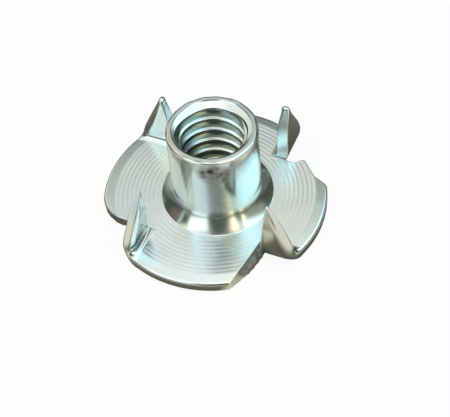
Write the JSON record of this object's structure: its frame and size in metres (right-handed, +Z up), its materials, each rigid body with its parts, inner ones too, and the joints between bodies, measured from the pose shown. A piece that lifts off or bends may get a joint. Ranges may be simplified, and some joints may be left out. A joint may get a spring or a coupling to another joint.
{
  "type": "tee nut",
  "caption": "Zinc-plated steel tee nut: a threaded barrel drawn up from a round flange, whose edge is sheared and folded up into prongs that bite into wood.",
  "frame": {"origin": "on the barrel's axis, on the underside of the flange, within 0.3 mm of the middle of the part's box", "axes": "+Z up along the barrel, away from the flange; the view of the picture looks along +Y and down"},
  "size_m": [0.019, 0.019, 0.0087],
  "materials": {
    "zinc_plated_steel": "bright zinc plate over pressed sheet steel"
  },
  "bodies": {
    "root": {"tee_nut": "zinc_plated_steel"}
  },
  "joints": []
}
